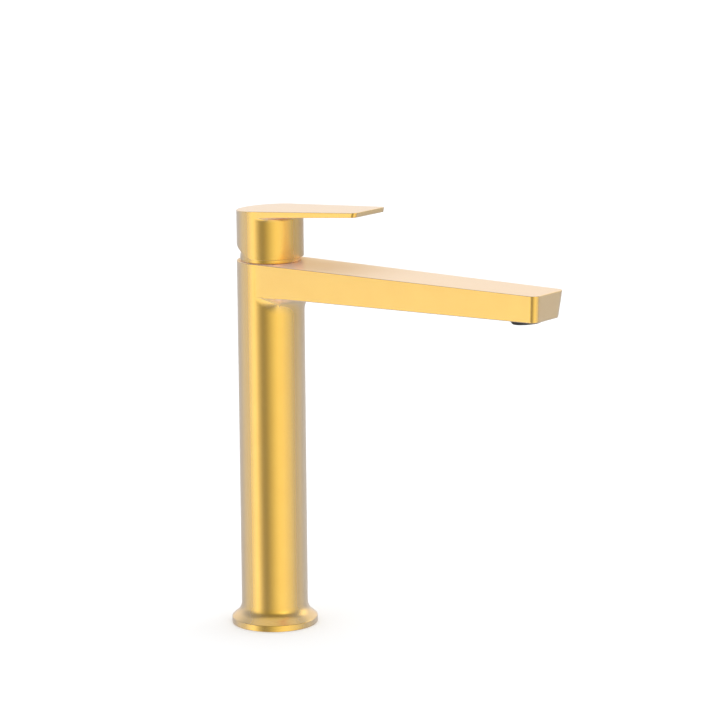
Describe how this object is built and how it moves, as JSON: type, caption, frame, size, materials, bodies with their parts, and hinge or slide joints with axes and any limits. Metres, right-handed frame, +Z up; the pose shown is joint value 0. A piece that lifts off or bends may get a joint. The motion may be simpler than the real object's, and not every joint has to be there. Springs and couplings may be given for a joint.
{
  "type": "basin mixer faucet",
  "caption": "Tall single-lever basin mixer in satin gold, with a long flat tapering spout, a flat lever on a round cap and a flared round foot.",
  "frame": {"origin": "centre of the foot's underside, on the deck and on the column's axis", "axes": "+Z up along the column, -Y towards the spout's tip, +X to the left of someone who stands in front of the spout and faces the column"},
  "size_m": [0.0598, 0.2595, 0.2977],
  "materials": {
    "satin_gold": "satin gold",
    "satin_gold_lever": "satin gold",
    "satin_gold_ring": "satin gold",
    "satin_gold_plug": "satin gold",
    "raw_brass": "machined",
    "white_plastic": "moulded",
    "blue_plastic": "moulded",
    "red_plastic": "moulded",
    "black_rubber": "matt",
    "ceramic": "lapped",
    "steel": "machined",
    "clear_plastic": "extruded",
    "black_plastic": "moulded",
    "dark_plastic": "moulded"
  },
  "bodies": {
    "faucet": {"faucet_body": "satin_gold", "dome_ring": "satin_gold_ring", "retaining_nut": "raw_brass", "valve_insert": "raw_brass", "base_insert": "raw_brass", "cartridge_housing": "white_plastic", "cartridge_base": "blue_plastic", "cartridge_seals": "black_rubber", "tube_orings": "black_rubber", "aerator_washer": "black_rubber", "deck_gasket": "black_rubber", "fixed_disc": "ceramic", "aerator_screen": "steel", "spout_tube": "clear_plastic", "aerator_housing": "black_plastic", "aerator_insert": "dark_plastic"},
    "temperature_carrier": {"stem_sleeve": "red_plastic", "pivot_pin": "steel"},
    "lever": {"handle_lever": "satin_gold_lever", "lever_stem": "steel", "set_screw": "steel", "screw_plug": "satin_gold_plug"},
    "disc_pair": {"moving_disc": "ceramic", "disc_carrier": "white_plastic"}
  },
  "joints": [
    {"name": "temperature_turn", "type": "hinge", "parent": "faucet", "child": "temperature_carrier", "pos_m": [0, 0, 0.261], "axis": [0, 0, 1], "range_deg": [-45, 45]},
    {"name": "lever_lift", "type": "hinge", "parent": "temperature_carrier", "child": "lever", "pos_m": [0, 0, 0.261], "axis": [-1, 0, 0], "range_deg": [0, 25]},
    {"name": "disc_slide", "type": "slide", "parent": "temperature_carrier", "child": "disc_pair", "axis": [0, -1, 0], "range_m": [0, 0.0032]}
  ],
  "couplings": [
    {"joint": "disc_slide", "follows": "lever_lift", "m_per_rad": 0.00679}
  ]
}
